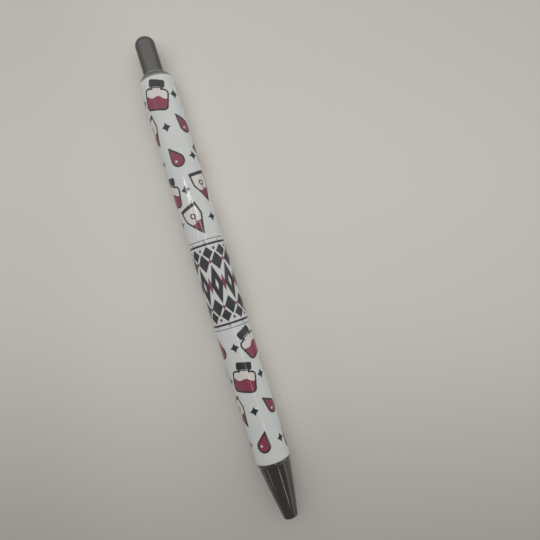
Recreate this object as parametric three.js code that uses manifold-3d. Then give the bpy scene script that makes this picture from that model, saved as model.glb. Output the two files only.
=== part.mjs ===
// Retractable metal pen, lying on its side. The barrel is a metal tube with a printed film under clear
// resin. A gunmetal collar is pressed into its top and carries the push button, and a gunmetal nose cone
// screws into its lower end. The click mechanism, the refill and its spring are inside.
// Millimetres. The axis of the pen runs along +X, with the nose at the +X end, and +Z is up. The pen rests
// on one flat of the barrel, and the origin is on the surface under the middle of its length.

import * as THREE from 'three';
import { mergeVertices } from 'three/addons/utils/BufferGeometryUtils.js';
import Module from 'manifold-3d';

// Outside lengths, along the axis
const buttonProudLength = 11.0; // the part of the button that stands out of the collar
const collarHeight = 2.15;
const barrelLength = 111.55;
const noseLength = 17.3;

// Layers of the barrel
const barrelWall = 0.4;
const filmThickness = 0.1;
const resinThickness = 0.19;
const resinEdge = 0.12; // chamfer where the resin ends

// Gaps, on the radius where the faces are round
const bondGap = 0.02; // layers that are stuck together
const pressGap = 0.03; // pressed or glued pieces
const slideGap = 0.06; // the button in the collar
const guideGap = 0.15; // moving pieces of the mechanism, and the point in the nose
const refillGap = 0.2; // the refill in the bore of the nose
const threadGap = 0.12;
const seamGap = 0.05; // end faces that close on each other
const faceGap = 0.3; // end faces that push on each other

// Button and its plunger
const buttonDiameter = 5.6;
const buttonDomeHeight = 2.4;
const capLength = 14.5;
const capWall = 0.4;
const capCrownThickness = 0.6; // metal under the dome
const plungerFreeLength = 6.1; // free length between the ribs and the teeth
const plungerRibLength = 3.0;
const plungerBoreDepth = 5.4;
const plungerBoreWall = 0.6;

// Collar
const collarLipWall = 0.2;
const collarLipHeight = 0.15;
const collarRimHeight = 0.4;
const collarRimRound = 0.12;
const collarStemLength = 8.55;
const collarFlankSwell = 0.08; // how far the flank of the collar stands out from a straight cone

// Click mechanism
const strokeFull = 6.5; // button pressed home
const strokeLatched = 5.0; // where the ribs of the rotor catch
const latchCount = 4; // slots in the sleeve, ribs on the rotor and splines on the plunger
const toothHeight = 0.8;
const sleeveWall = 0.5;
const sleeveSkirtLength = 5.0; // plain bore past the cam teeth, where the rotor turns
const splineClearance = 2.5; // degrees on each side of a spline in its slot
const rotorRibArc = 18; // degrees
const rotorRibLength = 3.6;
const rotorTailLength = 8.6;
const rotorTailDiameter = 4.6;
const rotorPinLength = 4.6;

// Refill
const refillDiameter = 5.9;
const refillWall = 0.35;
const refillPlugHeadLength = 1.6;
const refillPlugSpigotLength = 3.5;
const refillPlugNotchDepth = 0.8; // depth of the air notches in the rear end
const inkLength = 46;
const followerLength = 4;
const shoulderLength = 0.8;
const holderSpigotLength = 4.0;
const neckDiameter = 3.2;
const neckLength = 13.8;
const channelDiameter = 1.1;
const pointDiameter = 2.3;
const pointLength = 7.7; // from the neck to the front of the ball
const pointSpigotLength = 2.5;
const pointSpigotDiameter = 1.8;
const pointConeLength = 2.0;
const pointChannelDiameter = 0.6;
const ballDiameter = 1.0;
const ballGap = 0.03;
const tipRecessDepth = 2.5; // from the front of the ball to the end of the nose, button up

// Nose cone and its thread
const noseRimHeight = 0.8;
const noseRimStepHeight = 0.15; // how far the cone starts inside the rim
const noseEndWall = 0.82;
const noseSwellHeight = 0.1; // how far the cone swells from a straight one
const noseEndRound = 0.5;
const noseStubLength = 8.0;
const stubWall = 0.4;
const springSeatDepth = 5.3; // from the end of the neck's bore back to the seat of the spring
const threadPitch = 1.0;
const threadDepth = 0.3;
const threadCrestWidth = 0.24; // width of the flat on top
const threadBaseWidth = 0.8; // width at the root
const threadTurns = 5;
const bushingWall = 0.27;
const bushingLength = 10;

// Spring
const springDiameter = 4.6; // outside
const springWireDiameter = 0.4;
const springTurns = 12;
const springEndPitch = 0.85; // pitch of the first and last turn

// How finely the round pieces are divided
const sides = 36;
const resinSides = 24; // with flats wide enough for the pen to lie still on a slight slope
const innerSides = 18;
const mechanismStep = 11.25; // degrees
const threadSteps = 18;
const springSteps = 10;
const springSides = 6;

// Radii, from the refill outwards
const refillR = refillDiameter / 2;
const stubBoreR = refillR + refillGap;
const threadRootR = stubBoreR + stubWall;
const threadCrestR = threadRootR + threadDepth;
const bushingBoreR = threadRootR + threadGap;
const bushingGrooveR = threadCrestR + threadGap;
const bushingR = bushingGrooveR + bushingWall;
const tubeBoreR = bushingR + pressGap;
const tubeR = tubeBoreR + barrelWall;
const filmInnerR = tubeR + bondGap;
const filmR = filmInnerR + filmThickness;
const resinInnerR = (filmR + bondGap) / Math.cos(Math.PI / resinSides);
const resinR = resinInnerR + resinThickness;

// Radii of the button and the mechanism
const buttonR = buttonDiameter / 2;
const capBoreR = buttonR - capWall;
const stemR = capBoreR - pressGap;
const collarBoreR = buttonR + slideGap;
const collarLipR = collarBoreR + collarLipWall;
const plungerR = buttonR - slideGap;
const plungerBoreR = plungerR - plungerBoreWall;
const landR = plungerR + guideGap;
const sleeveR = tubeBoreR * Math.cos(Math.PI / sides) - pressGap;
const slotR = sleeveR - sleeveWall;
const ribR = slotR * Math.cos(THREE.MathUtils.degToRad(mechanismStep / 2)) - guideGap;
const pinR = plungerBoreR - guideGap;
const slotArc = 180 / latchCount;
const toothPitch = slotArc;
const latchTurn = toothPitch / 2;

// Radii of the refill's point and the bores of the nose
const refillBoreR = refillR - refillWall;
const plugR = refillBoreR * Math.cos(Math.PI / innerSides) - pressGap;
const neckR = neckDiameter / 2;
const pointR = pointDiameter / 2;
const pointSpigotR = pointSpigotDiameter / 2;
const pointSocketR = pointSpigotR + pressGap;
const ballR = ballDiameter / 2;
const noseHoleR = pointR + guideGap;
const noseEndR = noseHoleR + noseEndWall;
const neckBoreR = neckR + refillGap;
const springR = springDiameter / 2;
const springBoreR = springR + refillGap;
const noseRimR = filmR;
const noseConeR = noseRimR - noseRimStepHeight;

// Places along the axis, from the button to the nose
const overallLength = buttonProudLength + collarHeight + barrelLength + noseLength;
const buttonTopX = -overallLength / 2;
const collarTopX = buttonTopX + buttonProudLength;
const barrelTopX = collarTopX + collarHeight;
const barrelEndX = barrelTopX + barrelLength;
const noseEndX = barrelEndX + noseLength;
const capEndX = buttonTopX + capLength;
const capBoreX = buttonTopX + buttonDomeHeight + capCrownThickness;
const stemEndX = barrelTopX + collarStemLength;
const splineX = stemEndX + faceGap;
const splineEndX = splineX + plungerRibLength;
const crownX = splineX + plungerFreeLength;

// The crown of the plunger and the top of the rotor are the same wave, a quarter of a tooth apart, so the
// gap between them is the same at rest and after the rotor's turn
const rotorTopX = crownX + toothHeight / 2 + faceGap;
const rotorRibEndX = rotorTopX + rotorRibLength;
const rotorEndX = rotorRibEndX + rotorTailLength;
const landEndX = rotorTopX + strokeLatched - toothHeight;
const sleeveX = stemEndX + seamGap;
const sleeveEndX = landEndX + sleeveSkirtLength;

// Places of the refill and the bores of the nose
const ballX = noseEndX - tipRecessDepth - ballR;
const neckEndX = noseEndX - tipRecessDepth - pointLength;
const shoulderX = neckEndX - neckLength;
const refillRearX = rotorEndX + faceGap;
const tubeRearX = refillRearX + refillPlugHeadLength;
const tubeFrontX = shoulderX - shoulderLength;
const inkFrontX = tubeFrontX - holderSpigotLength - seamGap;
const inkRearX = inkFrontX - inkLength;
const neckBoreEndX = neckEndX + strokeFull + faceGap;
const noseHoleX = neckBoreEndX + neckBoreR - noseHoleR;
const springSeatX = neckBoreEndX - springSeatDepth;
const wideBoreX = shoulderX + strokeFull + faceGap;
const noseFaceX = barrelEndX + seamGap;
const stubEndX = noseFaceX - noseStubLength;
const threadX = stubEndX + threadBaseWidth;
const bushingEndX = barrelEndX - seamGap;

// The flat under the barrel touches the surface
const axisHeight = resinR * Math.cos(Math.PI / resinSides);

// Materials
const material = (color, roughness, metalness, extra = {}) =>
  new THREE.MeshStandardMaterial({ color, roughness, metalness, ...extra });
const satinGunmetal = () => material(0x625f5d, 0.45, 0.9);
const polishedGunmetal = () => material(0x4a4746, 0.2, 1.0);
const brass = () => material(0xb9975b, 0.35, 1.0);
const steel = () => material(0xb8bbbd, 0.3, 1.0);
const whiteAcetal = () => material(0xe8e6df, 0.55, 0.0);
const blackPlastic = () => material(0x2a2a2c, 0.6, 0.0);
const whiteFilm = () => material(0xf2f4f3, 0.5, 0.0);
const clearResin = () => material(0xf7faf9, 0.05, 0.0, { transparent: true, opacity: 0.35 });
const blackInk = () => material(0x14141a, 0.3, 0.0);
const paleGrease = () => material(0xd9d2a0, 0.4, 0.0);

// A closed mesh with shared corners and its faces pointing out. Triangles that have lost their area where
// neighbouring rings meet are dropped.
function closed(source) {
  const bare = source.clone();
  bare.deleteAttribute('normal');
  bare.deleteAttribute('uv');
  const merged = mergeVertices(bare, 1e-4);
  const corners = merged.index.array;
  const at = merged.attributes.position;
  const kept = [];
  let volume = 0;
  const a = new THREE.Vector3();
  const b = new THREE.Vector3();
  const c = new THREE.Vector3();
  for (let i = 0; i < corners.length; i += 3) {
    const [p, q, r] = corners.slice(i, i + 3);
    if (p === q || q === r || r === p) continue;
    kept.push(p, q, r);
    a.fromBufferAttribute(at, p);
    b.fromBufferAttribute(at, q);
    c.fromBufferAttribute(at, r);
    volume += a.dot(b.cross(c));
  }
  if (volume < 0) kept.reverse();
  merged.setIndex(kept);
  return merged;
}

// A turned piece: the loop of [x, radius] points goes round the axis. It starts half a side off the
// vertical, so that every round piece has a flat underneath.
function turnedPiece(loop, count = sides) {
  const points = loop.map(([x, radius]) => new THREE.Vector2(radius, x));
  const onAxis = loop[0][1] === 0 && loop[loop.length - 1][1] === 0;
  if (!onAxis) points.push(points[0].clone());
  const geometry = new THREE.LatheGeometry(points, count, Math.PI / count);
  geometry.rotateZ(-Math.PI / 2);
  return closed(geometry);
}

// A ring between two places and two radii
function tubePiece(fromX, toX, outerR, innerR, count = sides) {
  return turnedPiece([[fromX, innerR], [fromX, outerR], [toX, outerR], [toX, innerR]], count);
}

// A piece whose loop changes as it goes round. Each column has an angle in degrees and a loop of
// [x, radius] points, as many in each. Two columns at one angle make a wall that faces along the turn.
function columnPiece(columns) {
  const count = columns[0].loop.length;
  const positions = [];
  for (const { angle, loop } of columns) {
    const turn = THREE.MathUtils.degToRad(angle);
    for (const [x, radius] of loop) positions.push(x, radius * Math.cos(turn), radius * Math.sin(turn));
  }
  const index = [];
  for (let column = 0; column < columns.length; column += 1) {
    const next = (column + 1) % columns.length;
    for (let point = 0; point < count; point += 1) {
      const after = (point + 1) % count;
      const p = column * count + point;
      const q = column * count + after;
      const r = next * count + after;
      const s = next * count + point;
      index.push(p, q, r, p, r, s);
    }
  }
  return indexedGeometry(positions, index);
}

function indexedGeometry(positions, index) {
  const geometry = new THREE.BufferGeometry();
  geometry.setAttribute('position', new THREE.Float32BufferAttribute(positions, 3));
  geometry.setIndex(index);
  return closed(geometry);
}

// Columns for equal bands round the axis. makeLoop gets the angle and whether the band is raised there. A
// band starts and ends with two columns at one angle.
function bandedColumns(centres, arc, makeLoop) {
  const columns = [];
  const edges = centres.flatMap((centre) => [
    { angle: centre - arc / 2, enters: true },
    { angle: centre + arc / 2, enters: false },
  ]);
  const start = edges[0].angle;
  for (let i = 0; i < edges.length; i += 1) {
    const { angle, enters } = edges[i];
    const last = i + 1 < edges.length ? edges[i + 1].angle : start + 360;
    columns.push({ angle, loop: makeLoop(angle, !enters) });
    columns.push({ angle, loop: makeLoop(angle, enters) });
    const first = Math.ceil((angle + 1e-6) / mechanismStep);
    for (let k = first; k * mechanismStep < last - 1e-6; k += 1) {
      columns.push({ angle: k * mechanismStep, loop: makeLoop(k * mechanismStep, enters) });
    }
  }
  return columns;
}

// The middles of the slots, in degrees
const latchAngles = Array.from({ length: latchCount }, (_, i) => (i * 360) / latchCount);

// Height of the wave of cam teeth at an angle, from 0 to toothHeight
function toothWave(angle, phase = 0) {
  const place = THREE.MathUtils.euclideanModulo((angle - phase) / toothPitch, 1);
  return toothHeight * (1 - Math.abs(2 * place - 1));
}

// A section of [x, radius] points carried along a helix about the axis: xAt gives the place after a number
// of turns, and the turn starts at startAngle degrees
function helixPiece({ section, xAt, turns, steps, startAngle }) {
  const rings = Math.round(turns * steps);
  const positions = [];
  const index = [];
  for (let ring = 0; ring <= rings; ring += 1) {
    const turned = ring / steps;
    const angle = THREE.MathUtils.degToRad(startAngle + 360 * turned);
    for (const [x, radius] of section) {
      positions.push(xAt(turned) + x, radius * Math.cos(angle), radius * Math.sin(angle));
    }
  }
  const count = section.length;
  for (let ring = 0; ring < rings; ring += 1) {
    for (let point = 0; point < count; point += 1) {
      const after = (point + 1) % count;
      const p = ring * count + point;
      const q = ring * count + after;
      index.push(p, q, q + count, p, q + count, p + count);
    }
  }
  const far = rings * count;
  for (let point = 1; point + 1 < count; point += 1) {
    index.push(0, point + 1, point);
    index.push(far, far + point, far + point + 1);
  }
  return indexedGeometry(positions, index);
}

// Joins and cuts of closed meshes
const wasm = await Module();
wasm.setup();

function toSolid(geometry) {
  return new wasm.Manifold(new wasm.Mesh({
    numProp: 3,
    vertProperties: new Float32Array(geometry.attributes.position.array),
    triVerts: new Uint32Array(geometry.index.array),
  }));
}

function fromSolid(solid) {
  const mesh = solid.getMesh();
  return indexedGeometry(Array.from(mesh.vertProperties), Array.from(mesh.triVerts));
}

const joined = (first, second) => fromSolid(toSolid(first).add(toSolid(second)));
const cutBy = (first, second) => fromSolid(toSolid(first).subtract(toSolid(second)));

// Points on a curve of [x, radius] from start to end, whose middle stands out from the straight line by
// swell. A negative swell makes it hollow.
function bentFlank(start, end, swell, count) {
  const from = new THREE.Vector2(...start);
  const to = new THREE.Vector2(...end);
  const along = to.clone().sub(from).normalize();
  const outwards = new THREE.Vector2(-along.y, along.x).multiplyScalar(2 * swell);
  const towards = from.clone().add(to).multiplyScalar(0.5).add(outwards);
  return new THREE.QuadraticBezierCurve(from, towards, to).getPoints(count).map((p) => [p.x, p.y]);
}

// Button: a turned cap with a domed end, open at the bottom
function buttonCap() {
  const dome = [];
  const count = 7;
  for (let i = 0; i <= count; i += 1) {
    const turn = (i / count) * (Math.PI / 2);
    const radius = i === 0 ? 0 : buttonR * Math.sin(turn);
    dome.push([buttonTopX + buttonDomeHeight * (1 - Math.cos(turn)), radius]);
  }
  return turnedPiece([...dome, [capEndX, buttonR], [capEndX, capBoreR], [capBoreX, capBoreR], [capBoreX, 0]]);
}

// Collar: a thin lip round the button, a rounded flank, a rim that covers the end of the tube, and a stem
// pressed into it
function topCollar() {
  const rimX = barrelTopX - seamGap;
  const flankStart = [collarTopX + collarLipHeight, collarLipR];
  const flankEnd = [rimX - collarRimHeight, tubeR - collarRimRound];
  const stemOuterR = tubeBoreR - pressGap;
  return turnedPiece([
    [collarTopX, collarBoreR],
    [collarTopX, collarLipR],
    ...bentFlank(flankStart, flankEnd, collarFlankSwell, 5),
    [flankEnd[0] + collarRimRound, tubeR],
    [rimX, tubeR],
    [rimX, stemOuterR],
    [stemEndX, stemOuterR],
    [stemEndX, collarBoreR],
  ]);
}

// Barrel: tube, film and resin, one round the other
const barrelTube = () => tubePiece(barrelTopX, barrelEndX, tubeR, tubeBoreR);
const printedWrap = () => tubePiece(barrelTopX, barrelEndX, filmR, filmInnerR);

function clearCoat() {
  return turnedPiece([
    [barrelTopX, resinInnerR],
    [barrelTopX, resinR - resinEdge],
    [barrelTopX + resinEdge, resinR],
    [barrelEndX - resinEdge, resinR],
    [barrelEndX, resinR - resinEdge],
    [barrelEndX, resinInnerR],
  ], resinSides);
}

// Plunger: the stem in the button, splines that run in the sleeve's slots, and a crown of teeth
function plunger() {
  const loopAt = (angle, raised) => {
    const outer = raised ? ribR : plungerR;
    const endX = crownX + toothWave(angle) - toothHeight;
    return [
      [capBoreX + faceGap, 0],
      [capBoreX + faceGap, stemR],
      [capEndX + seamGap, stemR],
      [capEndX + seamGap, plungerR],
      [splineX, plungerR],
      [splineX, outer],
      [splineEndX, outer],
      [splineEndX, plungerR],
      [endX, plungerR],
      [endX, plungerBoreR],
      [crownX - toothHeight - plungerBoreDepth, plungerBoreR],
      [crownX - toothHeight - plungerBoreDepth, 0],
    ];
  };
  return columnPiece(bandedColumns(latchAngles, slotArc - 2 * splineClearance, loopAt));
}

// Sleeve: slots between lands that end in cam teeth, and a plain skirt round the rotor
function camSleeve() {
  const loopAt = (angle, raised) => {
    const inner = raised ? landR : slotR;
    const endX = landEndX + toothWave(angle, toothPitch / 4) - toothHeight;
    return [
      [sleeveX, sleeveR],
      [sleeveEndX, sleeveR],
      [sleeveEndX, slotR],
      [endX, slotR],
      [endX, inner],
      [sleeveX, inner],
      [sleeveX, slotR],
    ];
  };
  const landAngles = latchAngles.map((angle) => angle + slotArc);
  return columnPiece(bandedColumns(landAngles, slotArc, loopAt));
}

// Rotor: a pin in the plunger's bore, ribs with sloping tops, and a tail that pushes the refill
function camRotor() {
  const tailR = rotorTailDiameter / 2;
  const ribAngles = latchAngles.map((angle) => angle - latchTurn / 2);
  const loopAt = (angle, raised) => {
    const outer = raised ? ribR : plungerR;
    const topX = rotorTopX + toothWave(angle, -latchTurn / 2) - toothHeight;
    return [
      [rotorTopX - rotorPinLength, 0],
      [rotorTopX - rotorPinLength, pinR],
      [topX, pinR],
      [topX, plungerR],
      [topX, outer],
      [rotorRibEndX, outer],
      [rotorRibEndX, plungerR],
      [rotorRibEndX, tailR],
      [rotorEndX, tailR],
      [rotorEndX, 0],
    ];
  };
  return columnPiece(bandedColumns(ribAngles, rotorRibArc, loopAt));
}

// Thread: a ridge with sloping sides round the axis. grow is 0 for the ridge on the nose, and the thread's
// gap for the groove that it runs in.
function threadRidge({ fromX, turns, startAngle, grow }) {
  const slope = (threadBaseWidth - threadCrestWidth) / 2 / threadDepth;
  const topR = threadCrestR + grow;
  const bottomR = threadRootR - threadDepth / 2;
  const topHalf = threadCrestWidth / 2 + grow;
  const bottomHalf = Math.min(topHalf + slope * (topR - bottomR), 0.49 * threadPitch);
  const section = [[-bottomHalf, bottomR], [-topHalf, topR], [topHalf, topR], [bottomHalf, bottomR]];
  const xAt = (turned) => fromX + turned * threadPitch;
  return helixPiece({ section, xAt, turns, steps: threadSteps, startAngle });
}

const threadAngle = 180 / sides;

function threadBushing() {
  const body = tubePiece(bushingEndX - bushingLength, bushingEndX, bushingR, bushingBoreR);
  const leadTurns = 1;
  const groove = threadRidge({
    fromX: threadX - leadTurns * threadPitch,
    turns: leadTurns + Math.ceil((bushingEndX - threadX) / threadPitch) + 1,
    startAngle: threadAngle,
    grow: threadGap,
  });
  return cutBy(body, groove);
}

// Nose: rim, straight cone with a rounded end, stepped bore, and the threaded stub
function noseCone() {
  const coneX = noseFaceX + noseRimHeight;
  const coneEnd = [noseEndX - noseEndRound, noseEndR];
  const endRound = [];
  const count = 3;
  for (let i = 1; i <= count; i += 1) {
    const turn = (i / count) * (Math.PI / 2);
    const x = coneEnd[0] + noseEndRound * Math.sin(turn);
    endRound.push([x, noseEndR - noseEndRound * (1 - Math.cos(turn))]);
  }
  const body = turnedPiece([
    [stubEndX, stubBoreR],
    [stubEndX, threadRootR],
    [noseFaceX, threadRootR],
    [noseFaceX, noseRimR],
    [coneX - noseRimStepHeight, noseRimR],
    ...bentFlank([coneX, noseConeR], coneEnd, noseSwellHeight, 6),
    ...endRound,
    [noseEndX, noseHoleR],
    [noseHoleX, noseHoleR],
    [neckBoreEndX, neckBoreR],
    [springSeatX, neckBoreR],
    [springSeatX, springBoreR],
    [wideBoreX + (stubBoreR - springBoreR), springBoreR],
    [wideBoreX, stubBoreR],
  ]);
  const ridge = threadRidge({ fromX: threadX, turns: threadTurns, startAngle: threadAngle, grow: 0 });
  return joined(body, ridge);
}

// Spring: one wire, wound closer at its ends
const springFirstX = shoulderX + faceGap + springWireDiameter / 2;
const springLastX = springSeatX - faceGap - springWireDiameter / 2;
const springPitch = (springLastX - springFirstX - 2 * springEndPitch) / (springTurns - 2);

function springPlace(turned) {
  if (turned < 1) return springFirstX + springEndPitch * turned;
  if (turned < springTurns - 1) return springFirstX + springEndPitch + springPitch * (turned - 1);
  return springLastX - springEndPitch * (springTurns - turned);
}

function compressionSpring() {
  const wireR = springWireDiameter / 2;
  const section = [];
  for (let i = 0; i < springSides; i += 1) {
    const turn = (i / springSides) * 2 * Math.PI;
    section.push([wireR * Math.cos(turn), springR - wireR + wireR * Math.sin(turn)]);
  }
  return helixPiece({ section, xAt: springPlace, turns: springTurns, steps: springSteps, startAngle: 0 });
}

// The least gap between one turn of the wire and the next, measured between points along its middle
function leastSpringGap() {
  const middle = [];
  for (let step = 0; step <= springTurns * springSteps; step += 1) {
    const turned = step / springSteps;
    const angle = 2 * Math.PI * turned;
    const radius = springR - springWireDiameter / 2;
    middle.push(new THREE.Vector3(springPlace(turned), radius * Math.cos(angle), radius * Math.sin(angle)));
  }
  let least = Infinity;
  for (let i = 0; i < middle.length; i += 1) {
    for (let j = i + springSteps / 2; j < middle.length; j += 1) {
      least = Math.min(least, middle[i].distanceTo(middle[j]));
    }
  }
  return least - springWireDiameter;
}

// Refill: tube, rear plug with air notches, ink and its follower
const refillTube = () => tubePiece(tubeRearX, tubeFrontX, refillR, refillBoreR, innerSides);

function refillRearPlug() {
  const airHoleR = channelDiameter / 2;
  let plug = toSolid(turnedPiece([
    [refillRearX, airHoleR],
    [refillRearX, refillR],
    [tubeRearX - seamGap, refillR],
    [tubeRearX - seamGap, plugR],
    [tubeRearX + refillPlugSpigotLength, plugR],
    [tubeRearX + refillPlugSpigotLength, airHoleR],
  ], innerSides));
  for (const quarter of [0, 1]) {
    const bar = new THREE.BoxGeometry(2 * refillPlugNotchDepth, 2 * airHoleR, 4 * refillR);
    bar.translate(refillRearX, 0, 0);
    bar.rotateX((quarter * Math.PI) / 2);
    plug = plug.subtract(toSolid(closed(bar)));
  }
  return fromSolid(plug);
}

// A solid round bar between two places
function barPiece(fromX, toX, radius) {
  return turnedPiece([[fromX, 0], [fromX, radius], [toX, radius], [toX, 0]], innerSides);
}

const inkColumn = () => barPiece(inkRearX, inkFrontX, plugR);
const inkFollower = () => barPiece(inkRearX - seamGap - followerLength, inkRearX - seamGap, plugR);

// Brass front of the refill: a spigot in the tube, the shoulder that the spring bears on, and the neck
function refillTipHolder() {
  const channelR = channelDiameter / 2;
  const socketX = neckEndX - pointSpigotLength - seamGap;
  return turnedPiece([
    [tubeFrontX - holderSpigotLength, channelR],
    [tubeFrontX - holderSpigotLength, plugR],
    [tubeFrontX + seamGap, plugR],
    [tubeFrontX + seamGap, refillR],
    [shoulderX, refillR],
    [shoulderX, neckR],
    [neckEndX, neckR],
    [neckEndX, pointSocketR],
    [socketX, pointSocketR],
    [socketX, channelR],
  ], innerSides);
}

// Steel point: a spigot in the holder, a cylinder and a cone whose lip is closed over the ball
function writingTip() {
  const channelR = pointChannelDiameter / 2;
  const socketR = ballR + ballGap;
  const lipX = ballX + ballR / 2;
  const lipInnerR = Math.sqrt(socketR * socketR - (ballR * ballR) / 4);
  const floorX = ballX - Math.sqrt(socketR * socketR - channelR * channelR) - ballGap;
  return turnedPiece([
    [neckEndX - pointSpigotLength, channelR],
    [neckEndX - pointSpigotLength, pointSpigotR],
    [neckEndX + seamGap, pointSpigotR],
    [neckEndX + seamGap, pointR],
    [lipX - pointConeLength, pointR],
    [lipX, lipInnerR + 2 * ballGap],
    [lipX, lipInnerR],
    [ballX, socketR],
    [floorX, socketR],
    [floorX, channelR],
  ], innerSides);
}

function writingBall() {
  const ball = new THREE.SphereGeometry(ballR, 14, 10);
  ball.translate(ballX, 0, 0);
  return closed(ball);
}

// The pen
const pieces = [
  ['button_cap', buttonCap(), satinGunmetal()],
  ['plunger', plunger(), whiteAcetal()],
  ['top_collar', topCollar(), polishedGunmetal()],
  ['barrel_tube', barrelTube(), brass()],
  ['printed_wrap', printedWrap(), whiteFilm()],
  ['clear_coat', clearCoat(), clearResin()],
  ['cam_sleeve', camSleeve(), whiteAcetal()],
  ['cam_rotor', camRotor(), whiteAcetal()],
  ['thread_bushing', threadBushing(), brass()],
  ['nose_cone', noseCone(), polishedGunmetal()],
  ['compression_spring', compressionSpring(), steel()],
  ['refill_tube', refillTube(), steel()],
  ['refill_rear_plug', refillRearPlug(), blackPlastic()],
  ['ink_column', inkColumn(), blackInk()],
  ['ink_follower', inkFollower(), paleGrease()],
  ['refill_tip_holder', refillTipHolder(), brass()],
  ['writing_tip', writingTip(), steel()],
  ['writing_ball', writingBall(), steel()],
];

const group = new THREE.Group();
group.name = 'metal_pen';
for (const [name, geometry, finish] of pieces) {
  const mesh = new THREE.Mesh(geometry, finish);
  mesh.name = name;
  mesh.position.z = axisHeight;
  group.add(mesh);
}

console.log(`least gap between turns of the spring: ${leastSpringGap().toFixed(3)} mm`);

export default group;
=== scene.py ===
"""Retractable metal pen: a printed barrel under clear resin, a satin push button, and a polished gunmetal
collar and nose cone. The CAD model is the fixed frame, and the pieces that can be seen are made again here,
smooth and finely divided. Lengths are written in millimetres and put into the meshes in metres."""

import math

import bmesh
import bpy
import numpy as np
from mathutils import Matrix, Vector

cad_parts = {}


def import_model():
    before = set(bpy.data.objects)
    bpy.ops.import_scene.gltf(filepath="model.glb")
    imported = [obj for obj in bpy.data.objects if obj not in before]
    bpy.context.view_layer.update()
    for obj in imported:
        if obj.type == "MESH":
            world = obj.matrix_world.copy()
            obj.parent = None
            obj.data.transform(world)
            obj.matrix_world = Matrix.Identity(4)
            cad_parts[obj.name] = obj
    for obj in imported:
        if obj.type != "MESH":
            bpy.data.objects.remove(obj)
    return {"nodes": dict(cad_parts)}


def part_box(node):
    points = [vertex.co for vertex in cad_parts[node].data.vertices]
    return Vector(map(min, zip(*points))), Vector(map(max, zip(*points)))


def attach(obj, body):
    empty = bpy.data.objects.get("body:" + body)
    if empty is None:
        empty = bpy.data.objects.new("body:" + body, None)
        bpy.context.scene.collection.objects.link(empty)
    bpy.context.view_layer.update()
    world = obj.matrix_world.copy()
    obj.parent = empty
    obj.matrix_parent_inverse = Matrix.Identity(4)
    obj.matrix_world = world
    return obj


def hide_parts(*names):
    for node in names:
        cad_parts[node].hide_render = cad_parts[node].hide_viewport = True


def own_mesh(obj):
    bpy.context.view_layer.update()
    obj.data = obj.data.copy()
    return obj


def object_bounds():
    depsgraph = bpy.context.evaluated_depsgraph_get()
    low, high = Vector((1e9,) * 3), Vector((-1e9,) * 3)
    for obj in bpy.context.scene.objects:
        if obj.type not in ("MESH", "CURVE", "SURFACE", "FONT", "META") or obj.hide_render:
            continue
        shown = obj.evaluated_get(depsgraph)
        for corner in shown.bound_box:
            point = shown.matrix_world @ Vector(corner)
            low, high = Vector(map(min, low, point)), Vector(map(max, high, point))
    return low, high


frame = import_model()
cad_low, cad_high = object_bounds()

MM = 0.001
resin_low, resin_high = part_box("clear_coat")
AXIS_Z = (resin_low.z + resin_high.z) / 2 / MM
BARREL_R = (resin_high.z - resin_low.z) / 2 / MM
BARREL_TOP = resin_low.x / MM
BARREL_END = resin_high.x / MM
PEN_TOP = cad_low.x / MM
PEN_END = cad_high.x / MM
NOSE_FACE = BARREL_END + 0.05
THREAD_START = NOSE_FACE - 7.2
THREAD_ANGLE = math.radians(5)
THREAD_PITCH = 1.0
THREAD_DEPTH = 0.3


# Camera
def add_camera():
    """Straight down over the pen, turned about the vertical as in the photograph."""
    data = bpy.data.cameras.new("camera")
    data.lens = 36.0
    data.sensor_width = 36.0
    data.clip_start = 0.001
    data.clip_end = 20.0
    camera = bpy.data.objects.new("camera", data)
    camera.location = (2.6 * MM, 14.97 * MM, 158.0 * MM)
    camera.rotation_euler = (0.0, 0.0, math.radians(72.76))
    bpy.context.scene.collection.objects.link(camera)
    bpy.context.scene.camera = camera


# Shapes
def rounded(corners, radii, steps=5):
    """Corners of an [x, radius] line with their sharp points replaced by arcs. An arc of radius q between two
    sides that meet at the angle 2h starts q / tan(h) before the corner, and is the rational quadratic curve
    from there through the corner's pull, whose weight is sin(h)."""
    p = np.array(corners, float)
    q = np.array(radii, float)
    before = np.roll(p, 1, axis=0) - p
    after = np.roll(p, -1, axis=0) - p
    before /= np.maximum(np.linalg.norm(before, axis=1, keepdims=True), 1e-12)
    after /= np.maximum(np.linalg.norm(after, axis=1, keepdims=True), 1e-12)
    half = np.arccos(np.clip((before * after).sum(1), -1, 1)) / 2
    reach = (q / np.tan(np.maximum(half, 1e-3)))[:, None]
    start, end = p + before * reach, p + after * reach
    s = np.linspace(0, 1, steps + 1)[None, :, None]
    pull = np.sin(half)[:, None, None]
    top = (1 - s) ** 2 * start[:, None] + 2 * s * (1 - s) * pull * p[:, None] + s**2 * end[:, None]
    line = (top / ((1 - s) ** 2 + 2 * s * (1 - s) * pull + s**2)).reshape(-1, 2)
    moved = np.linalg.norm(np.diff(line, axis=0, prepend=line[-1:] + 1.0), axis=1) > 1e-7
    return line[moved]


def bent(start, end, swell, count):
    """Points from start to end on the quadratic curve whose middle stands swell off the straight line."""
    a, b = np.array(start, float), np.array(end, float)
    along = (b - a) / np.linalg.norm(b - a)
    pull = (a + b) / 2 + np.array([-along[1], along[0]]) * 2 * swell
    s = np.linspace(0, 1, count)[:, None]
    return (1 - s) ** 2 * a + 2 * s * (1 - s) * pull + s**2 * b


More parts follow.
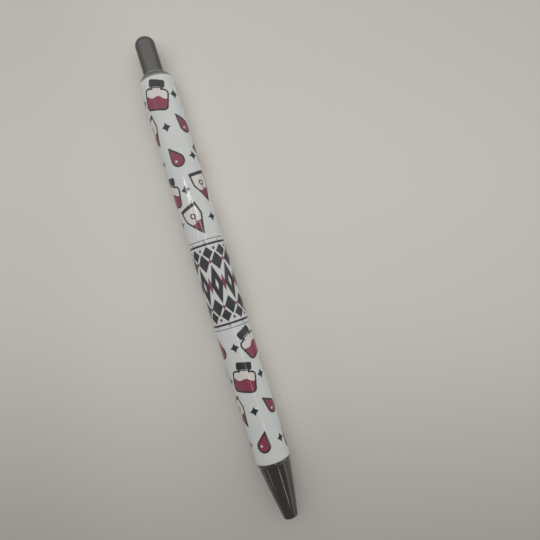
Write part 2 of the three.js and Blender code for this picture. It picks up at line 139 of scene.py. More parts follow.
def mesh_piece(name, points, faces, material, sharp=35.0):
    """An object at the origin with these points, in millimetres from the pen's axis, and these faces."""
    mesh = bpy.data.meshes.new(name)
    placed = np.asarray(points, float).reshape(-1, 3) + np.array([0.0, 0.0, AXIS_Z])
    mesh.from_pydata((placed * MM).tolist(), [], np.asarray(faces).tolist())
    mesh.polygons.foreach_set("use_smooth", np.ones(len(mesh.polygons), bool))
    mesh.update()
    mesh.set_sharp_from_angle(angle=math.radians(sharp))
    mesh.materials.append(material)
    piece = bpy.data.objects.new(name, mesh)
    bpy.context.scene.collection.objects.link(piece)
    return piece


def turned(name, line, count, material, swell=None, sharp=35.0):
    """Turned piece. Grid point (i, j) is point i of the [x, radius] line at the angle a = 2 pi j / count:
    (x, r cos a, r sin a), where r is the line's radius plus swell(x, r, a). A line that starts and ends on
    the axis is closed by its poles, and any other line closes on itself."""
    line = np.asarray(line, float)
    angle = np.arange(count) * (2 * math.pi / count)
    x = np.repeat(line[:, :1], count, axis=1)
    r = np.repeat(line[:, 1:], count, axis=1)
    a = np.repeat(angle[None, :], len(line), axis=0)
    if swell is not None:
        r = r + swell(x, r, a)
    points = np.stack([x, r * np.cos(a), r * np.sin(a)], axis=-1)
    on_axis = line[0, 1] == 0 and line[-1, 1] == 0
    rows = len(line) - 1 if on_axis else len(line)
    i = np.repeat(np.arange(rows)[:, None], count, axis=1)
    j = np.repeat(np.arange(count)[None, :], rows, axis=0)
    i2, j2 = (i + 1) % len(line), (j + 1) % count
    faces = np.stack([i * count + j, i * count + j2, i2 * count + j2, i2 * count + j], axis=-1)
    piece = mesh_piece(name, points, faces.reshape(-1, 4), material, sharp)
    if on_axis:
        work = bmesh.new()
        work.from_mesh(piece.data)
        bmesh.ops.remove_doubles(work, verts=work.verts[:], dist=1e-7)
        work.to_mesh(piece.data)
        work.free()
    return piece


def wound(name, place, turns, steps, middle_r, wire_r, count, material):
    """Wound wire. At turn t its middle is at (place(t), middle_r cos 2 pi t, middle_r sin 2 pi t), and the
    wire's round section lies in the plane through the axis there. The last ring at each end shrinks to a
    rounded cut."""
    t = np.linspace(0, turns, turns * steps + 1)
    size = np.full(len(t), wire_r)
    t = np.concatenate([[t[0]] * 2, t, [t[-1]] * 2])
    size = np.concatenate([[0.0, wire_r * 0.85], size, [wire_r * 0.85, 0.0]])
    reach = np.zeros(len(t))
    reach[[0, 1, -2, -1]] = [-0.04, -0.03, 0.03, 0.04]
    b = np.arange(count) * (2 * math.pi / count)
    x = place(t)[:, None] + size[:, None] * np.cos(b)[None, :]
    r = middle_r + size[:, None] * np.sin(b)[None, :]
    a = 2 * math.pi * t[:, None] + reach[:, None] / middle_r
    points = np.stack([x, r * np.cos(a), r * np.sin(a)], axis=-1)
    i = np.repeat(np.arange(len(t) - 1)[:, None], count, axis=1)
    j = np.repeat(np.arange(count)[None, :], len(t) - 1, axis=0)
    j2 = (j + 1) % count
    faces = np.stack([i * count + j, i * count + j2, (i + 1) * count + j2, (i + 1) * count + j], axis=-1)
    piece = mesh_piece(name, points, faces.reshape(-1, 4), material, sharp=50.0)
    work = bmesh.new()
    work.from_mesh(piece.data)
    bmesh.ops.remove_doubles(work, verts=work.verts[:], dist=1e-7)
    bmesh.ops.recalc_face_normals(work, faces=work.faces[:])
    work.to_mesh(piece.data)
    work.free()
    return piece


def thread_height(x, a, first_x, last_x, crest=0.24, root=0.8):
    """Height of a thread, from 0 to 1, on a cylinder. u is the distance along the axis from the nearest
    crest, which moves on by one pitch for each turn, and the flanks are straight between crest and root. The
    thread fades in and out over its first and last third of a turn."""
    u = (x - first_x) / THREAD_PITCH - (a - THREAD_ANGLE) / (2 * math.pi)
    u = np.abs(u - np.round(u)) * THREAD_PITCH
    flank = np.clip((root / 2 - u) / (root / 2 - crest / 2), 0, 1)
    fade = THREAD_PITCH * 0.35
    return flank * np.clip((x - first_x) / fade, 0, 1) * np.clip((last_x - x) / fade, 0, 1)


def dressed(piece, body, slot, *nodes):
    """The piece rides on its body and stands for the CAD nodes, which are hidden. Its slot is not used."""
    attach(piece, body)
    if nodes:
        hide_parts(*nodes)
    return piece


# Materials
def linear(code):
    """Linear colour of an sRGB hex value: (c + 0.055) / 1.055 to the power 2.4, or c / 12.92 near black."""
    c = np.array([int(code[k : k + 2], 16) for k in (1, 3, 5)]) / 255
    c = np.where(c <= 0.04045, c / 12.92, ((c + 0.055) / 1.055) ** 2.4)
    return (*c.tolist(), 1.0)


def add(tree, kind, inputs=None, **settings):
    """Adds one node with its settings. An input is linked where it is given a socket, and set otherwise."""
    made = tree.nodes.new("ShaderNode" + kind)
    for key, value in settings.items():
        setattr(made, key, value)
    for key, value in (inputs or {}).items():
        if isinstance(value, bpy.types.NodeSocket):
            tree.links.new(value, made.inputs[key])
        else:
            made.inputs[key].default_value = value
    return made


def finish_of(name, **surface):
    """A material with one Principled shader, its tree, and object coordinates in millimetres."""
    material = bpy.data.materials.new(name)
    material.use_nodes = True
    tree = material.node_tree
    shader = tree.nodes["Principled BSDF"]
    for key, value in surface.items():
        shader.inputs[key.replace("_", " ")].default_value = value
    place = add(tree, "TexCoord").outputs["Object"]
    scaled = add(tree, "VectorMath", {0: place, "Scale": 1 / MM}, operation="SCALE").outputs["Vector"]
    return material, tree, shader, scaled


def tint(tree, shader, factor, low, high):
    """The base colour runs from low to high as factor goes from 0 to 1."""
    mix = add(tree, "Mix", {"Factor": factor, 6: linear(low), 7: linear(high)}, data_type="RGBA")
    tree.links.new(mix.outputs[2], shader.inputs["Base Color"])
    return mix.outputs[2]


def relief(tree, shader, height, depth, strength=1.0):
    """Bump from a height between 0 and 1 that stands for depth millimetres."""
    bump = add(tree, "Bump", {"Height": height, "Distance": depth * MM, "Strength": strength})
    tree.links.new(bump.outputs["Normal"], shader.inputs["Normal"])


def satin_gunmetal():
    """Brass with satin gunmetal plating: a fine blasted grain spreads the highlights."""
    material, tree, shader, place = finish_of("satin_gunmetal_plating", Metallic=1.0, Roughness=0.38)
    grain = add(tree, "TexNoise", {"Vector": place, "Scale": 9.0, "Detail": 3.0}).outputs["Fac"]
    tint(tree, shader, grain, "#5A5957", "#605F5D")
    rough = add(tree, "MapRange", {"Value": grain, 3: 0.34, 4: 0.42}).outputs["Result"]
    tree.links.new(rough, shader.inputs["Roughness"])
    relief(tree, shader, grain, 0.004)
    return material


def turned_gunmetal(name, low, high, fine, coarse, edge=1.0):
    """Turned brass with gunmetal plating and faint rings left by the tool. Its roughness runs from fine to
    coarse across the rings, and an edge below 1 dulls it where it is seen at a slant."""
    material, tree, shader, place = finish_of(
        name, Metallic=1.0, Roughness=(fine + coarse) / 2, Specular_Tint=(edge, edge, edge, 1.0)
    )
    along = add(tree, "VectorMath", {0: place, 1: (1.0, 0.02, 0.02)}, operation="MULTIPLY").outputs["Vector"]
    rings = add(tree, "TexNoise", {"Vector": along, "Scale": 7.0, "Detail": 2.0}).outputs["Fac"]
    cloud = add(tree, "TexNoise", {"Vector": place, "Scale": 0.35, "Detail": 2.0}).outputs["Fac"]
    tint(tree, shader, cloud, low, high)
    rough = add(tree, "MapRange", {"Value": rings, 3: fine, 4: coarse}).outputs["Result"]
    tree.links.new(rough, shader.inputs["Roughness"])
    return material


def printed_resin():
    """White film with a black and red print under poured clear resin: the print is flat, and the gloss is the
    resin's alone. The attributes hold distances in millimetres, and a colour is inside where its own is
    negative."""
    resin = {"Coat_Weight": 1.0, "Coat_Roughness": 0.02, "Coat_IOR": 1.45}
    material, tree, shader, place = finish_of(
        "print_under_clear_resin", Roughness=0.6, Specular_IOR_Level=0.0, **resin
    )
    soft = 0.05  # half the width over which an edge of the print changes colour
    half_line = 0.24  # half the width of the drawn outlines
    shape = add(tree, "Attribute", attribute_name="shape_distance").outputs["Fac"]
    black = add(tree, "Attribute", attribute_name="black_distance").outputs["Fac"]
    red = add(tree, "Attribute", attribute_name="red_distance").outputs["Fac"]
    outline = add(tree, "Math", {0: shape}, operation="ABSOLUTE").outputs[0]
    outline = add(tree, "Math", {0: outline, 1: half_line}, operation="SUBTRACT").outputs[0]
    ink = add(tree, "Math", {0: outline, 1: black}, operation="MINIMUM").outputs[0]
    inked = add(tree, "MapRange", {"Value": ink, 1: -soft, 2: soft, 3: 1.0, 4: 0.0}).outputs["Result"]
    reddened = add(tree, "MapRange", {"Value": red, 1: -soft, 2: soft, 3: 1.0, 4: 0.0}).outputs["Result"]
    cloud = add(tree, "TexNoise", {"Vector": place, "Scale": 0.6, "Detail": 3.0}).outputs["Fac"]
    white = add(tree, "Mix", {"Factor": cloud, 6: linear("#C3C6C4"), 7: linear("#C9CCCA")}, data_type="RGBA")
    reds = add(tree, "Mix", {"Factor": cloud, 6: linear("#7D3849"), 7: linear("#864051")}, data_type="RGBA")
    blacks = add(tree, "Mix", {"Factor": cloud, 6: linear("#2C2C2F"), 7: linear("#343437")}, data_type="RGBA")
    inside = add(tree, "MapRange", {"Value": shape, 1: -soft, 2: soft, 3: 1.0, 4: 0.0}).outputs["Result"]
    pale = add(tree, "Mix", {"Factor": inside, 6: white.outputs[2], 7: linear("#CDC8C3")}, data_type="RGBA")
    base = add(tree, "Mix", {"Factor": reddened, 6: pale.outputs[2], 7: reds.outputs[2]}, data_type="RGBA")
    base = add(tree, "Mix", {"Factor": inked, 6: base.outputs[2], 7: blacks.outputs[2]}, data_type="RGBA")
    tree.links.new(base.outputs[2], shader.inputs["Base Color"])
    return material


def turned_metal(name, low, high, roughness, ring_mm):
    """Plain turned metal: fine rings across the axis, left by the cutting edge."""
    material, tree, shader, place = finish_of(name, Metallic=1.0, Roughness=roughness)
    along = add(tree, "VectorMath", {0: place, 1: (1.0, 0.03, 0.03)}, operation="MULTIPLY").outputs["Vector"]
    rings = add(tree, "TexNoise", {"Vector": along, "Scale": 1 / ring_mm, "Detail": 2.0}).outputs["Fac"]
    tint(tree, shader, rings, low, high)
    spread = {"Value": rings, 3: roughness - 0.06, 4: roughness + 0.06}
    rough = add(tree, "MapRange", spread).outputs["Result"]
    tree.links.new(rough, shader.inputs["Roughness"])
    relief(tree, shader, rings, 0.003)
    return material


def moulded(name, low, high, roughness, grain_mm, **surface):
    """Moulded or poured stuff: a slight change of colour through it and a fine grain on its skin."""
    material, tree, shader, place = finish_of(name, Roughness=roughness, **surface)
    cloud = add(tree, "TexNoise", {"Vector": place, "Scale": 0.5, "Detail": 2.0}).outputs["Fac"]
    grain = add(tree, "TexNoise", {"Vector": place, "Scale": 1 / grain_mm, "Detail": 2.0}).outputs["Fac"]
    tint(tree, shader, cloud, low, high)
    relief(tree, shader, grain, 0.004)
    return material


# Print: distances on the unrolled barrel. u runs to the right and v towards the button, in millimetres
MOTIF = 1.45  # size of a bottle, nib or drop against its drawing
FAR = 9.0  # distance where there is nothing


def disc(u, v, radius):
    """Distance to a disc: the length of (u, v) less the radius."""
    return np.hypot(u, v) - radius


def slab(u, v, wide, high, corner=0.0):
    """Distance to a rectangle of half sides wide and high with rounded corners: the length of what stands
    out past the rounded core, less the corner's radius."""
    p, q = np.abs(u) - wide + corner, np.abs(v) - high + corner
    return np.hypot(np.maximum(p, 0), np.maximum(q, 0)) + np.minimum(np.maximum(p, q), 0) - corner


def lozenge(u, v, wide, high):
    """Distance to a lozenge of half diagonals wide and high: the height over its nearest side."""
    return (np.abs(u) * high + np.abs(v) * wide - wide * high) / math.hypot(wide, high)


def side_rule(side, place, half):
    """Distance to a line of half width half round the barrel at place, on both sides of the band."""
    return np.abs(side - place) - half


def sparkle(u, v, reach):
    """Distance to a star of four points: outside four circles about the corners of its square."""
    p, q = np.abs(u), np.abs(v)
    hollow = reach - np.hypot(p - reach, q - reach)
    return np.where((p < reach) & (q < reach), hollow, np.maximum(p, q) - reach + 0.05)


def bottle(u, v):
    """Ink bottle: its outline, black parts and red parts."""
    body = slab(u, v + 0.75, 2.25, 1.95, 0.75)
    neck = slab(u, v - 1.4, 0.9, 0.5, 0.1)
    cap = slab(u, v - 2.25, 1.35, 0.6, 0.2)
    level = v + 0.35 - 0.22 * np.sin(2.4 * u + 0.6)
    rib = slab(u, v - 1.45, 1.15, 0.1, 0.05)
    return np.minimum(np.minimum(body, neck), cap), np.minimum(cap, rib), np.maximum(body, level)


def nib(u, v):
    """Pen nib pointing down: its outline, black parts and red parts."""
    taper = (np.abs(u) * 3.4 - (v + 3.1) * 1.75) / math.hypot(3.4, 1.75)
    blade = np.maximum(np.maximum(np.abs(u) - 1.75, v - 2.6), taper)
    hole = np.abs(disc(u, v - 0.55, 0.42)) - 0.13
    slit = slab(u, v + 1.4, 0.09, 1.6)
    shank = slab(u, v - 2.35, 1.75, 0.25)
    dipped = np.maximum(blade, v + 0.75 - 0.15 * np.sin(3.0 * u))
    return blade, np.minimum(np.minimum(hole, slit), shank), dipped


def drop(u, v):
    """Drop: a disc with a cone that touches it and ends in a point above it, all red but for a glint."""
    r, tall = 1.2, 2.7
    s = r / tall
    c = math.sqrt(1 - s * s)
    w = v + 0.7
    cone = np.abs(u) * c + (w - tall) * s
    shape = np.where(w * c > np.abs(u) * s, cone, np.hypot(u, w) - r)
    glint = disc(u + 0.42, w + 0.05, 0.24)
    return shape, np.full_like(u, FAR), np.maximum(shape, -glint)


def printed_pattern(x, a):
    """Least distances over all the motifs at each point of the barrel: to the outlines, to the black parts
    and to the red parts. Three motifs and three stars stand in each row round the barrel, and a band of
    lozenges between ruled lines parts the rows in the middle."""
    around = 2 * math.pi * BARREL_R
    shape, black, red = np.full_like(x, FAR), np.full_like(x, FAR), np.full_like(x, FAR)
    motifs = (bottle, nib, drop)
    rows = [-52.4, -43.6, -34.6, -25.6, -16.9, 19.8, 28.8, 38.0, 47.4]
    tilts = [-18, 14, 24, -9, 18, 8, -15, 22, -20]
    for row, (row_x, tilt) in enumerate(zip(rows, tilts)):
        for seat in range(3):
            centre = (seat / 3 + 0.5 * (row % 2) / 3 + 0.27) * around
            u = -((BARREL_R * a - centre + around / 2) % around - around / 2)
            v = -(x - row_x)
            lean = math.radians(tilt * (1 - 2 * (seat % 2)) + 9 * seat)
            p = u * math.cos(lean) + v * math.sin(lean)
            q = -u * math.sin(lean) + v * math.cos(lean)
            outline, dark, bright = motifs[(row + 2 * seat) % 3](p / MOTIF, q / MOTIF)
            shape = np.minimum(shape, outline * MOTIF)
            black = np.minimum(black, dark * MOTIF)
            red = np.minimum(red, bright * MOTIF)
            spark_u = (u + around / 6 + around / 2) % around - around / 2
            black = np.minimum(black, sparkle(spark_u, v + 0.4 * (-1) ** seat, 1.5 + 0.15 * seat))
    band_x, count, wide = 2.0, 8, 1.7
    step = around / count
    u = (BARREL_R * a + step / 2) % step - step / 2
    half_u = (BARREL_R * a + step) % step - step / 2
    v = -(x - band_x)
    side = np.abs(v)
    black = np.minimum(black, np.maximum(lozenge(u, v, wide, 5.6), -lozenge(u, v, 0.4, 1.6)))
    black = np.minimum(black, lozenge(half_u, side - 6.3, wide, 2.6))
    black = np.minimum(black, lozenge(u, side - 8.9, 1.5, 1.8))
    black = np.minimum(black, side_rule(side, 11.3, 0.3))
    black = np.minimum(black, side_rule(side, 12.6, 0.12))
    red = np.minimum(red, lozenge(half_u, v, 0.62, 2.6))
    red = np.minimum(red, lozenge(u, side - 6.55, 0.4, 0.75))
    red = np.minimum(red, disc(half_u, side - 9.9, 0.42))
    black = np.minimum(black, disc(u, side - 11.95, 0.2))
    return shape, black, red


def unevenness(x, r, a):
    """The resin isn't quite even: three slow waves run round and along the barrel, 31, 17 and 9.5 mm long and
    0.014 mm high in all. They only take off its outer face."""
    waves = np.sin(2 * math.pi * x / 31 + 3 * a) + np.sin(2 * math.pi * x / 17 - 4 * a + 1.3)
    waves = waves + 0.8 * np.sin(2 * math.pi * x / 9.5 + 2 * a + 0.4)
    return np.where(r > BARREL_R - 0.25, 0.0025 * (waves - 2.8), 0.0)


# Pieces
def printed_barrel():
    """Film and resin in one piece: a tube with rounded ends, closely divided for the print."""
    inner, soft, cells, count = 4.70, 0.2, 560, 168
    ends = rounded(
        [[BARREL_TOP, inner], [BARREL_TOP, BARREL_R], [BARREL_END, BARREL_R], [BARREL_END, inner]],
        [0, soft, soft, 0],
    )
    cuts = np.linspace(BARREL_TOP + soft, BARREL_END - soft, cells)
    outer = np.stack([cuts, np.full(cells, BARREL_R)], 1)
    half = len(ends) // 2
    line = np.concatenate([ends[:half], outer[1:-1], ends[half:]])
    piece = turned("printed_barrel", line, count, printed_resin(), swell=unevenness)
    angle = np.arange(count) * (2 * math.pi / count)
    x, a = np.meshgrid(line[:, 0], angle, indexing="ij")
    names = ("shape_distance", "black_distance", "red_distance")
    for name, values in zip(names, printed_pattern(x, a)):
        layer = piece.data.attributes.new(name, "FLOAT", "POINT")
        layer.data.foreach_set("value", values.astype(np.float32).ravel())
    return dressed(piece, "barrel", "clear_resin", "clear_coat", "printed_wrap")


def push_button(material):
    """Turned cap: an elliptical dome, a straight skirt and an open bore."""
    r, bore, dome = 2.8, 2.4, 2.4
    crown, end = PEN_TOP + 3.0, PEN_TOP + 14.5
    t = np.linspace(0, math.pi / 2, 28)
    curve = np.stack([PEN_TOP + dome * (1 - np.cos(t)), r * np.sin(t)], 1)
    curve[0, 1] = 0.0
    rest = np.array([[end - 0.1, r], [end, r - 0.1], [end, bore], [crown, bore], [crown, 0.0]])
    piece = turned("push_button", np.concatenate([curve, rest]), 96, material)
    return dressed(piece, "button", "satin_gunmetal", "button_cap")


def collar(material):
    """Turned ring: a thin lip round the button with a small countersink inside, a rounded flank, a rim over
    the end of the tube, and a stem."""
    top, rim, stem = PEN_TOP + 11.0, BARREL_TOP - 0.05, BARREL_TOP + 8.55
    bore, lip = 2.86, 3.06
    flank = bent([top + 0.15, lip], [rim - 0.4, 4.55], 0.08, 24)
    start = rounded([[top + 0.3, bore], [top, 3.02], [top, lip], [top + 0.15, lip]], [0.0, 0.02, 0.03, 0.0])
    rest = rounded(
        [[rim - 0.4, 4.55], [rim - 0.28, 4.67], [rim, 4.67], [rim, 4.24], [stem, 4.24], [stem, bore]],
        [0, 0.08, 0.05, 0, 0, 0],
    )
    line = np.concatenate([start[:-1], flank, rest[1:]])
    return dressed(turned("collar", line, 112, material), "barrel", "polished_gunmetal", "top_collar")


def nose(material):
    """Turned cone with a slight swell and a rounded end, a stepped bore, and a stub with a thread."""
    face, end = NOSE_FACE, PEN_END
    rim, cone, stub_r = 4.79, 4.64, 3.55
    stub, first, last = face - 8.0, THREAD_START, face - 2.2
    seat = 62.3  # where the spring bears
    flank = bent([face + 0.8, cone], [end - 0.5, 2.12], 0.1, 40)
    shoulder = [[face, stub_r], [face, rim], [face + 0.62, rim], [face + 0.8, cone]]
    shoulder = rounded(shoulder, [0, 0.08, 0.1, 0])
    tip = rounded(
        [[end - 0.5, 2.12], [end, 2.12], [end, 1.3], [68.1, 1.3], [67.6, 1.8], [seat, 1.8], [seat, 2.5]],
        [0, 0.49, 0.1, 0, 0, 0, 0],
    )
    thread = np.stack([np.linspace(stub + 0.1, face - 0.3, 220), np.full(220, stub_r)], 1)
    bore = np.array([[54.45, 2.5], [53.8, 3.15], [stub, 3.15], [stub, 3.5]])
    line = np.concatenate([thread, shoulder[:-1], flank[:-1], tip[1:], bore])

    def ridge(x, r, a):
        """The stub's outer face rises by the thread's depth on its ridge."""
        height = THREAD_DEPTH * thread_height(x, a, first, last)
        return np.where((np.abs(r - stub_r) < 0.01) & (x < face - 0.2), height, 0.0)

    piece = turned("nose", line, 112, material, swell=ridge)
    return dressed(piece, "nose", "polished_gunmetal", "nose_cone")


def bushing(material):
    """Threaded ring in the lower end of the tube: its bore has the nose's thread with play all round."""
    front, rear = BARREL_END - 0.05, BARREL_END - 10.05
    cells, bore_r, play = 260, 3.67, 2.0
    bore = np.stack([np.linspace(front - 0.1, rear + 0.1, cells), np.full(cells, bore_r)], 1)
    line = np.concatenate([[[rear, 3.77], [rear, 4.24], [front, 4.24], [front, 3.77]], bore])

    def groove(x, r, a):
        """The bore opens by the thread's depth along its groove."""
        height = thread_height(x, a, THREAD_START - play, front + play, crest=0.44, root=1.0)
        return np.where(np.abs(r - bore_r) < 0.01, THREAD_DEPTH * height, 0.0)

    return dressed(turned("bushing", line, 96, material, swell=groove), "barrel", "brass", "thread_bushing")


def spring(material):
    """Compression spring: one wire, wound closer in its first and last turn."""
    first, last, turns, end_pitch = 47.5, 61.8, 12, 0.85
    pitch = (last - first - 2 * end_pitch) / (turns - 2)

    def place(t):
        """Place along the axis at turn t: straight runs of the end pitch, the open pitch, the end pitch."""
        return np.interp(t, [0, 1, turns - 1, turns], [first, first + end_pitch, last - end_pitch, last])

    piece = wound("spring", place, turns, 40, 2.1, 0.2, 14, material)
    dressed(piece, "spring", "spring_steel", "compression_spring")
    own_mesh(piece)
    return piece


def tube(name, node, outer, inner, soft, count, material):
    """A plain tube as long as its CAD node, with its outer edges rounded."""
    low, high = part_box(node)
    rear, front = low.x / MM, high.x / MM
    corners = [[rear, inner], [rear, outer], [front, outer], [front, inner]]
    return turned(name, rounded(corners, [0, soft, soft, 0]), count, material)


def tip_holder(material):
    """Brass front of the refill: spigot, shoulder and neck."""
    rear, shoulder, front, socket = 42.2, 46.25, 60.8, 58.25
    line = rounded(
        [[rear, 0.55], [rear, 2.53], [shoulder, 2.53], [shoulder, 2.95], [47.0, 2.95], [47.0, 1.6]]
        + [[front, 1.6], [front, 0.93], [socket, 0.93], [socket, 0.55]],
        [0, 0, 0, 0.05, 0.15, 0.1, 0.1, 0, 0, 0],
    )
    return dressed(turned("tip_holder", line, 64, material), "refill", "brass", "refill_tip_holder")


def point(material):
    """Steel point: a cylinder and a cone whose lip is closed over the ball."""
    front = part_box("writing_tip")[1].x / MM
    rear, step, seat = 58.3, 60.85, front - 0.8
    line = rounded(
        [[rear, 0.3], [rear, 0.9], [step, 0.9], [step, 1.15], [front - 2.0, 1.15]]
        + [[front, 0.53], [front, 0.47], [front - 0.25, 0.53], [seat, 0.53], [seat, 0.3]],
        [0, 0, 0, 0.05, 0.3, 0.02, 0, 0, 0, 0],
    )
    return dressed(turned("point", line, 64, material), "refill", "refill_steel", "writing_tip")


def ball(material):
    """Writing ball: a half circle turned about the axis."""
    low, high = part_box("writing_ball")
    middle, r = (low.x + high.x) / 2 / MM, 0.5
    t = np.linspace(0, math.pi, 25)
    line = np.stack([middle - r * np.cos(t), r * np.sin(t)], 1)
    line[[0, -1], 1] = 0.0
    return dressed(turned("ball", line, 32, material), "ball", "ball_carbide", "writing_ball")


# Light, floor and world. In the room's colours and the lamps' strengths 1 is the brightness of a white page
CEILING = (0.30, 0.30, 0.30, 1.0)
WALL = (0.80, 0.80, 0.79, 1.0)
RIGHT_WALL = (1.15, 1.15, 1.13, 1.0)
DARK_SIDE = (0.20, 0.19, 0.195, 1.0)
LOW_WALL = (0.56, 0.54, 0.52, 1.0)
BACKDROP = (0.70, 0.69, 0.67, 1.0)
SMOOTH = {"interpolation_type": "SMOOTHSTEP"}


# Edge of the ceiling's soft lights past the button, in millimetres. They end at three steps over the barrel
FAR_EDGE = -430

TUBE_HEIGHT = 400.0

# Tubes whose long reflections lie on the resin and the nose: start and end, width, strength and colour
TUBES = [
    ("tube_a1", (-102, -51), (-97, -160), 18, 7.5, "#FFFFFF"),
    ("tube_a2", (-97, -160), (-46, -216), 18, 7.5, "#FFFFFF"),
    ("tube_a3", (-101, -48), (-71, 35), 18, 7.5, "#FFFFFF"),
    ("tube_a4", (-71, 35), (-40, 78), 18, 7.5, "#FFFFFF"),
    ("tube_b", (38, 91), (172, 70), 18, 6.5, "#FFFFFF"),
    ("tube_c1", (350, 160), (418, 165), 12, 5.5, "#FFEAE2"),
    ("tube_c2", (430, 175), (475, 262), 12, 3, "#FFEAE2"),
]


def area_lamp(name, place, target, size, strength, colour, turn=None):
    """Flat lamp at place, aimed at target, or straight down with its long side turned about the vertical. Its
    strength is its own brightness, where 1 is a white page, so its power is pi times its area times that."""
    data = bpy.data.lights.new(name, "AREA")
    data.shape = "RECTANGLE"
    data.size, data.size_y = size[0] * MM, size[1] * MM
    data.energy = math.pi * data.size * data.size_y * strength
    data.color = linear(colour)[:3]
    lamp = bpy.data.objects.new(name, data)
    lamp.location = np.array(place) * MM
    if turn is None:
        aim = Vector(np.array(target, float) - np.array(place, float))
        lamp.rotation_euler = aim.to_track_quat("-Z", "Y").to_euler()
    else:
        lamp.rotation_euler = (0.0, 0.0, turn)
    bpy.context.scene.collection.objects.link(lamp)


def tube_lamp(name, start, end, width, strength, colour):
    """Straight tube that shines down from TUBE_HEIGHT, from start to end, both (x, y) in millimetres."""
    start, end = np.array(start, float), np.array(end, float)
    along = end - start
    middle = (*(start + end) / 2, TUBE_HEIGHT)
    turn = math.atan2(along[1], along[0])
    area_lamp(name, middle, None, (np.hypot(*along), width), strength, colour, turn)


def floor():
    """Pale matt sheet under the pen, with painted light and shade in its colour: it is painted lighter close
    along the pen, which offsets part of the pen's contact shadow, and painted darker towards its two ends and
    past its left, as painted shade. Its two directions, in millimetres, are down and across as the camera
    sees them."""
    mesh = bpy.data.meshes.new("floor")
    reach, below = 3.0, -1e-5
    corners = [(-reach, -reach, below), (reach, -reach, below), (reach, reach, below), (-reach, reach, below)]
    mesh.from_pydata(corners, [], [(0, 1, 2, 3)])
    material, tree, shader, place = finish_of("pale_matt_sheet_with_painted_shade", Roughness=0.8)
    down = add(tree, "VectorMath", {0: place, 1: (0.9551, -0.2964, 0.0)}, operation="DOT_PRODUCT")
    down = down.outputs["Value"]
    # Painted shade: the sheet's colour darkens from -20 to -95 mm along down, past the button end.
    painted_shade_at_top = add(tree, "MapRange", {"Value": down, 1: -95.0, 2: -20.0}, **SMOOTH).outputs["Result"]
    # Painted shade: the colour darkens from the middle to 105 mm along down, towards and past the nose.
    fade = add(tree, "MapRange", {"Value": down, 1: 0.0, 2: 105.0}, **SMOOTH).outputs["Result"]
    upper = tint(tree, shader, painted_shade_at_top, "#C6C3BD", "#D2CFC9")
    sheet = add(tree, "Mix", {"Factor": fade, 6: upper, 7: linear("#AEA9A3")}, data_type="RGBA")
    split = add(tree, "SeparateXYZ", {0: place})
    x = add(tree, "Math", {0: split.outputs["X"]}, operation="ABSOLUTE").outputs[0]
    y = split.outputs["Y"]
    # Painted light: close along the pen, within 80 mm of its middle, the colour is up to 15 % lighter, which
    # offsets part of the pen's contact shadow.
    left = add(tree, "MapRange", {"Value": y, 1: -18.0, 2: 6.0}, **SMOOTH).outputs["Result"]
    right = add(tree, "MapRange", {"Value": y, 1: 20.0, 2: 4.0}, **SMOOTH).outputs["Result"]
    within = add(tree, "MapRange", {"Value": x, 1: 80.0, 2: 45.0}, **SMOOTH).outputs["Result"]
    painted_light_by_pen = add(tree, "Math", {0: left, 1: right}, operation="MULTIPLY").outputs[0]
    painted_light_by_pen = add(tree, "Math", {0: painted_light_by_pen, 1: within}, operation="MULTIPLY").outputs[0]
    painted_light_by_pen = add(tree, "MapRange", {"Value": painted_light_by_pen, 3: 1.0, 4: 1.15}).outputs["Result"]
    # Painted shade: past the pen's left, from 15 to 60 mm across, the colour is up to 9 % darker.
    across = add(tree, "VectorMath", {0: place, 1: (0.2964, 0.9551, 0.0)}, operation="DOT_PRODUCT")
    across = {"Value": across.outputs["Value"], 1: -60.0, 2: -15.0, 3: 0.91, 4: 1.0}
    across = add(tree, "MapRange", across, **SMOOTH).outputs["Result"]
    level = add(tree, "Math", {0: painted_light_by_pen, 1: across}, operation="MULTIPLY").outputs[0]
    shaded = add(tree, "VectorMath", {0: sheet.outputs[2], "Scale": level}, operation="SCALE")
    tree.links.new(shaded.outputs["Vector"], shader.inputs["Base Color"])
    mesh.materials.append(material)
    stage = bpy.data.objects.new("floor", mesh)
    bpy.context.scene.collection.objects.link(stage)


def world():
    """Soft room light: pale walls, a dimmer ceiling, and the dark side where the photographer stands, past
    the nose. Where the camera itself sees past the floor, there is a plain pale backdrop."""
    room = bpy.data.worlds.new("room")
    bpy.context.scene.world = room
    room.use_nodes = True
    tree = room.node_tree
    ray = add(tree, "TexCoord").outputs["Generated"]
    split = add(tree, "SeparateXYZ", {0: ray})
    up = add(tree, "MapRange", {"Value": split.outputs["Z"], 1: 0.6, 2: 0.85}, **SMOOTH).outputs["Result"]
    near = add(tree, "MapRange", {"Value": split.outputs["X"], 1: -0.1, 2: 0.5}, **SMOOTH).outputs["Result"]
    low = add(tree, "MapRange", {"Value": split.outputs["Z"], 1: 0.36, 2: 0.24}, **SMOOTH).outputs["Result"]
    side = add(tree, "MapRange", {"Value": split.outputs["Y"], 1: 0.1, 2: 0.4}, **SMOOTH).outputs["Result"]
    low = add(tree, "Math", {0: low, 1: side}, operation="MULTIPLY").outputs[0]
    dark = add(tree, "Mix", {"Factor": low, 6: DARK_SIDE, 7: LOW_WALL}, data_type="RGBA")
    right = add(tree, "MapRange", {"Value": split.outputs["Y"], 1: 0.3, 2: 0.8}, **SMOOTH).outputs["Result"]
    walls = add(tree, "Mix", {"Factor": right, 6: WALL, 7: RIGHT_WALL}, data_type="RGBA")
    colour = add(tree, "Mix", {"Factor": up, 6: walls.outputs[2], 7: CEILING}, data_type="RGBA")
    colour = add(tree, "Mix", {"Factor": near, 6: colour.outputs[2], 7: dark.outputs[2]}, data_type="RGBA")
    seen = add(tree, "LightPath").outputs["Is Camera Ray"]
    colour = add(tree, "Mix", {"Factor": seen, 6: colour.outputs[2], 7: BACKDROP}, data_type="RGBA")
    tree.links.new(colour.outputs[2], tree.nodes["Background"].inputs["Color"])


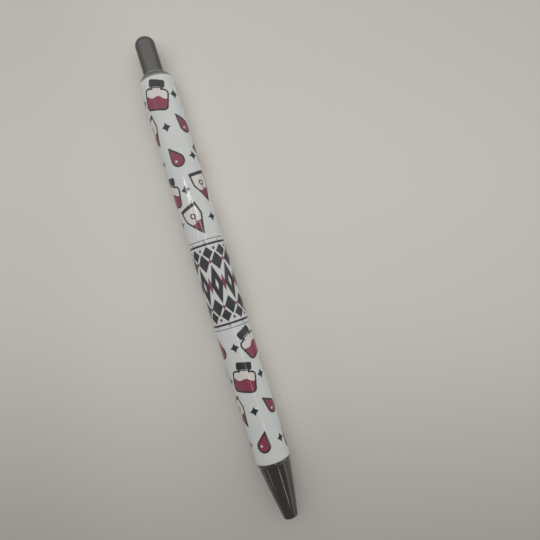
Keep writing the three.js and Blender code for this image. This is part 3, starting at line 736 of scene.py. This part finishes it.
bpy.context.scene.view_settings.view_transform = "Standard"
add_camera()
brass = turned_metal("turned_brass", "#B4904F", "#C9A866", 0.3, 0.12)
refill_steel = turned_metal("drawn_nickel_plated_steel", "#B5B6B7", "#C6C7C8", 0.25, 0.2)
wire = turned_metal("drawn_spring_wire", "#A9ABAD", "#BDBFC0", 0.28, 0.15)
carbide = turned_metal("polished_carbide", "#8C8C8E", "#98989A", 0.14, 0.05)
acetal = moulded("moulded_white_acetal", "#DEDCD5", "#E8E6DF", 0.45, 0.2)
rubber = moulded("moulded_black_plastic", "#262628", "#303033", 0.5, 0.2)
ink = moulded("viscous_black_ink", "#111116", "#191920", 0.15, 0.5)
grease = moulded("pale_clear_grease", "#D3CC98", "#DDD7A8", 0.25, 0.5)

printed_barrel()
push_button(satin_gunmetal())
collar(turned_gunmetal("satin_turned_gunmetal_plating", "#8F8E8B", "#989793", 0.38, 0.5, 0.6))
nose(turned_gunmetal("polished_gunmetal_plating", "#6E6C69", "#74726F", 0.09, 0.15))
bushing(brass)
spring(wire)
dressed(tube("tube", "barrel_tube", 4.67, 4.28, 0.05, 96, brass), "barrel", "brass", "barrel_tube")
refill = tube("refill_barrel", "refill_tube", 2.95, 2.6, 0.08, 64, refill_steel)
dressed(refill, "refill", "refill_steel", "refill_tube")
tip_holder(brass)
point(refill_steel)
ball(carbide)

for node, material in {
    "plunger": acetal,
    "cam_sleeve": acetal,
    "cam_rotor": acetal,
    "refill_rear_plug": rubber,
    "ink_column": ink,
    "ink_follower": grease,
}.items():
    for slot in frame["nodes"][node].material_slots:
        slot.material = material

for number, edge in enumerate((-48, 5, 65)):
    size = (edge - FAR_EDGE, 520)
    place = ((edge + FAR_EDGE) / 2, -30, 246 + 4 * number)
    area_lamp(f"ceiling_light_{number}", place, None, size, 0.25, "#FFFFFD", turn=-0.25)
for name, start, end, width, strength, colour in TUBES:
    tube_lamp(name, start, end, width, strength, colour)
area_lamp("doorway", (595, -780, 328), (60, 0, 0), (70, 200), 0.45, "#FFEEE2")
floor()
world()
